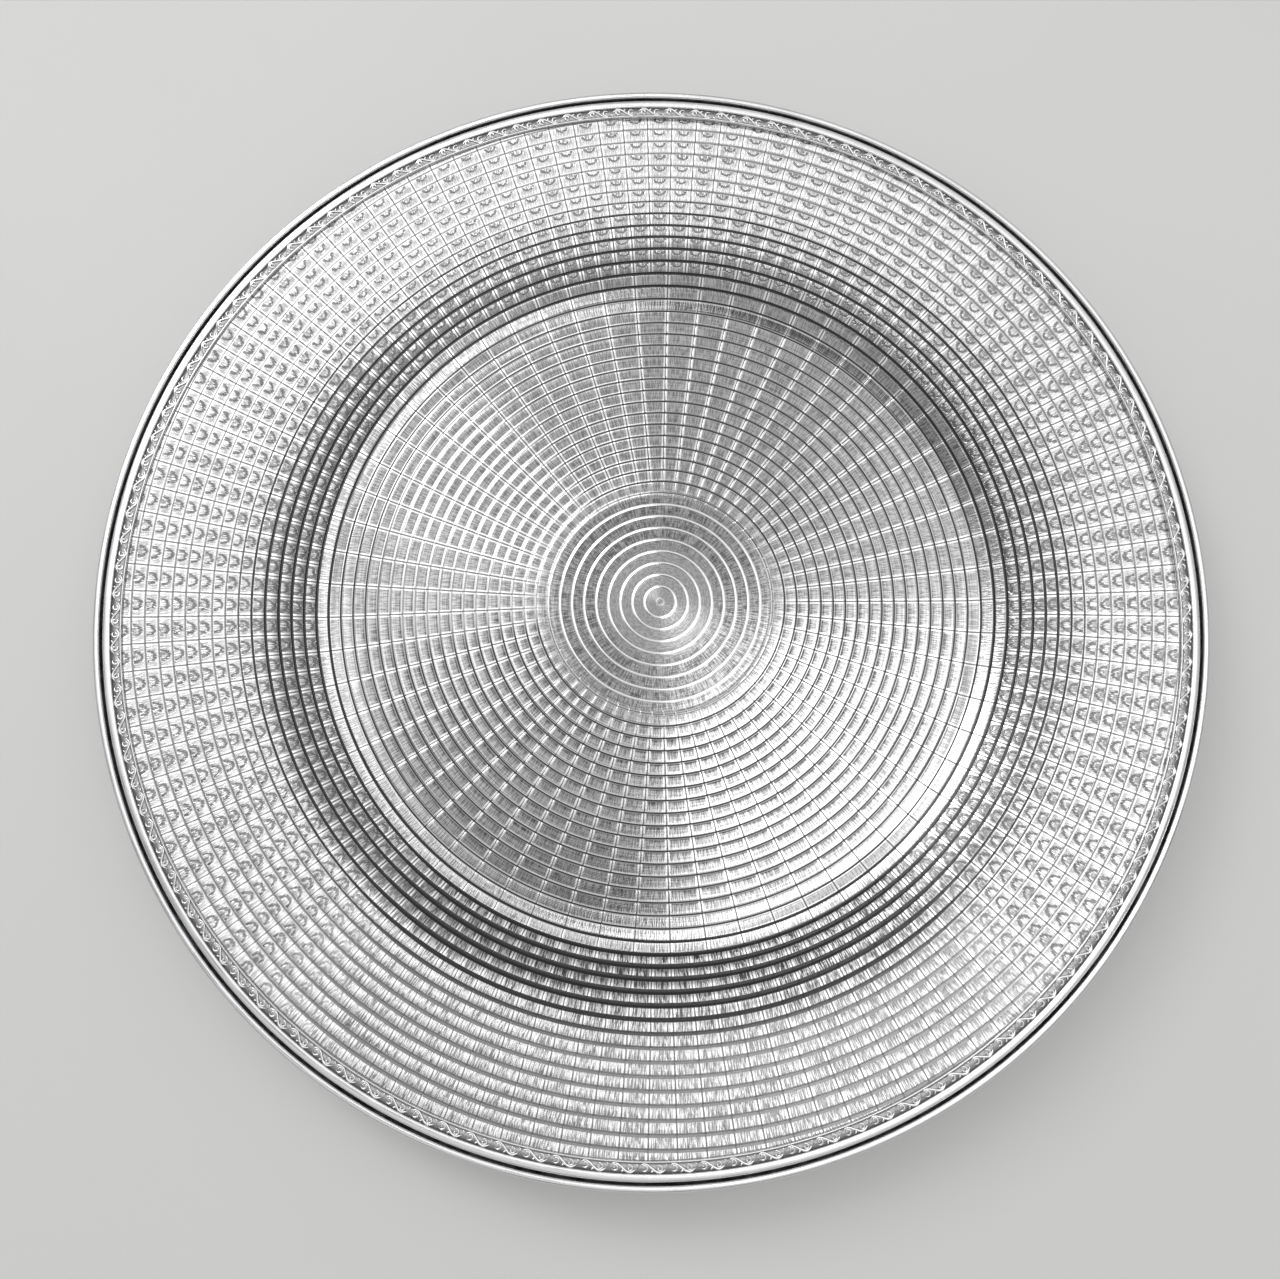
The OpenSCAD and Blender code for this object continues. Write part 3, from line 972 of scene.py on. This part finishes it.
# %% [markdown]
# ## The foot
# A dished floor can't stand by itself, so a flared collar is soldered under it, with a wire along its lower
# edge that stops it from bending. Both are satin silver. The collar is bowed in a little halfway up, and
# the wire is rounded on both sides and flat where it stands.

# %% Foot
COLLAR_T, FLARE, BOW, WIRE_W = 1.2 * MM, 3 * MM, 0.3 * MM, 2.8 * MM
foot_silver = satin("foot_silver")
foot_r, foot_low, foot_top = reach("foot_ring")
waist_r, waist_z = foot_r - FLARE / 2 - BOW, (foot_low + foot_top) / 2
collar = turned("foot_collar", [
    [foot_r - COLLAR_T, foot_low], [foot_r, foot_low], [waist_r, waist_z],
    [foot_r - FLARE, foot_top], [foot_r - FLARE - COLLAR_T, foot_top], [waist_r - COLLAR_T, waist_z],
], foot_silver, 360)
stand_for(collar, "foot_ring")
wire_r, wire_low, wire_top = reach("foot_wire")
half = (wire_top - wire_low) / 2
right = arc(wire_r - half, wire_low + half, half, half, -90, 90, 9)
left = arc(wire_r - WIRE_W + half, wire_low + half, half, half, 90, 270, 9)
foot_wire = turned("foot_base_wire", np.concatenate([right, left]), foot_silver, 360)
stand_for(foot_wire, "foot_wire")

# %% [markdown]
# ## Studio
# A pale floor, and over it a ceiling of six flat lights. Silver shows nothing but what it reflects, so what
# matters is where each light lies, as seen in the mirror of the dish. That is why the ceiling lights are
# placed by slope: a slope of 0.4 is 0.4 sideways for each 1 up. The wide overhead light gives the dish its
# body. The wedge and the crescent are small and bright and draw the two flashes. The others fill the sides.
# A weak key light from the upper left picks out the flanks of the grooves, and a grey sky fills what no
# light covers.

# %% Floor
FLOOR_HALF = 3.0


def floor_material():
    """Pale painted board with faint mottling."""
    t = Tree("pale_floor")
    t.shader.inputs["Metallic"].default_value = 0.0
    t.shader.inputs["Roughness"].default_value = 0.7
    t.colour(t.shades(t.noise(t.place(), 6, 4), (0.78, 0.78, 0.77), (0.83, 0.83, 0.82)))
    return t.material


floor_points = np.array([[-1, -1, 0], [1, -1, 0], [1, 1, 0], [-1, 1, 0]], float) * FLOOR_HALF
floor = new_piece("floor", floor_points, [np.array([[0, 1, 2, 3]])], floor_material(), smooth=False)

# %% Sky
# Grey that is lighter near the horizon: height 0.15 gets the first brightness and height 0.8 the second.
SKY_HEIGHTS, SKY_GREYS = (0.15, 0.8), (0.48, 0.20)

world = bpy.data.worlds.new("studio")
world.use_nodes = True
sky = world.node_tree
look = sky.nodes.new("ShaderNodeTexCoord")
parts = sky.nodes.new("ShaderNodeSeparateXYZ")
climb = sky.nodes.new("ShaderNodeMapRange")
sky.links.new(look.outputs["Generated"], parts.inputs[0])
sky.links.new(parts.outputs[2], climb.inputs[0])
for socket, value in zip(climb.inputs[1:], (*SKY_HEIGHTS, *SKY_GREYS)):
    socket.default_value = value
sky.links.new(climb.outputs[0], sky.nodes["Background"].inputs[0])
bpy.context.scene.world = world


# %% Lights
def area_light(name, width, depth, power, place):
    """A rectangular light that shines down from a place, before it is turned."""
    data = bpy.data.lights.new(name, "AREA")
    data.shape = "RECTANGLE"
    data.size, data.size_y = width, depth
    data.energy = power
    lamp = bpy.data.objects.new(name, data)
    lamp.location = place
    bpy.context.scene.collection.objects.link(lamp)
    print(f"{name}: {width:.2f} by {depth:.2f} m, {power:.1f} W")
    return lamp


def ceiling_box(name, x_slopes, y_slopes, height, radiance, turn=0.0):
    """A light lying flat overhead. Its sides are given as slopes from the plate's middle, and its strength
    as the brightness that a mirror would show: power = radiance * pi * area."""
    width, depth = (x_slopes[1] - x_slopes[0]) * height, (y_slopes[1] - y_slopes[0]) * height
    place = (sum(x_slopes) / 2 * height, sum(y_slopes) / 2 * height, height)
    lamp = area_light(name, width, depth, radiance * math.pi * width * depth, place)
    lamp.rotation_euler = (0, 0, math.radians(turn))


def softbox(name, azimuth, elevation, distance, width, depth, power):
    """A light that faces the plate. Azimuth is measured from +X, counter-clockwise from above."""
    a, e = math.radians(azimuth), math.radians(elevation)
    way = np.array([math.cos(a) * math.cos(e), math.sin(a) * math.cos(e), math.sin(e)])
    lamp = area_light(name, width, depth, power, way * distance)
    lamp.rotation_mode = "QUATERNION"
    lamp.rotation_quaternion = Vector(way).to_track_quat("Z", "Y")


HIGH, LOW = 1.40, 1.36
ceiling_box("overhead_box", (-0.95, 0.95), (-0.04, 1.10), HIGH, 0.57)
ceiling_box("wedge_box", (0.035, 0.45), (-0.30, 0.170), LOW, 1.9)
ceiling_box("right_box", (0.17, 0.45), (0.175, 0.40), LOW, 0.55)
ceiling_box("left_box", (-0.45, -0.10), (0.06, 0.27), LOW, 0.65)
ceiling_box("crescent_box", (-0.52, 0.02), (0.40, 0.60), LOW, 1.8, 40)
ceiling_box("front_box", (-0.80, 0.80), (-0.85, -0.20), LOW, 0.45)
softbox("key_box", 135, 45, 1.5, 0.45, 0.6, 4)

# %% [markdown]
# ## Camera
# The plate is seen from close by and almost straight down, so the camera stands 300 mm off and leans back
# by nine degrees. It is aimed by its place and its tilt alone: no lens shift and no depth of field. The
# standard view transform keeps the whites of the silver white.

# %% Camera
TILT, DISTANCE, LENS = math.radians(9), 300 * MM, 31.4
AIM = np.array([-3 * MM, -10.2 * MM, ROPE_TOP_Z])
camera_data = bpy.data.cameras.new("camera")
camera = bpy.data.objects.new("camera", camera_data)
bpy.context.scene.collection.objects.link(camera)
camera.location = AIM + DISTANCE * np.array([0, -math.sin(TILT), math.cos(TILT)])
camera.rotation_euler = (TILT, 0, 0)
camera_data.lens = LENS
camera_data.sensor_width = 36
camera_data.clip_start, camera_data.clip_end = 0.01, 20
bpy.context.scene.camera = camera
bpy.context.scene.view_settings.view_transform = "Standard"
print("camera at", [round(c / MM, 1) for c in camera.location])

# %% [markdown]
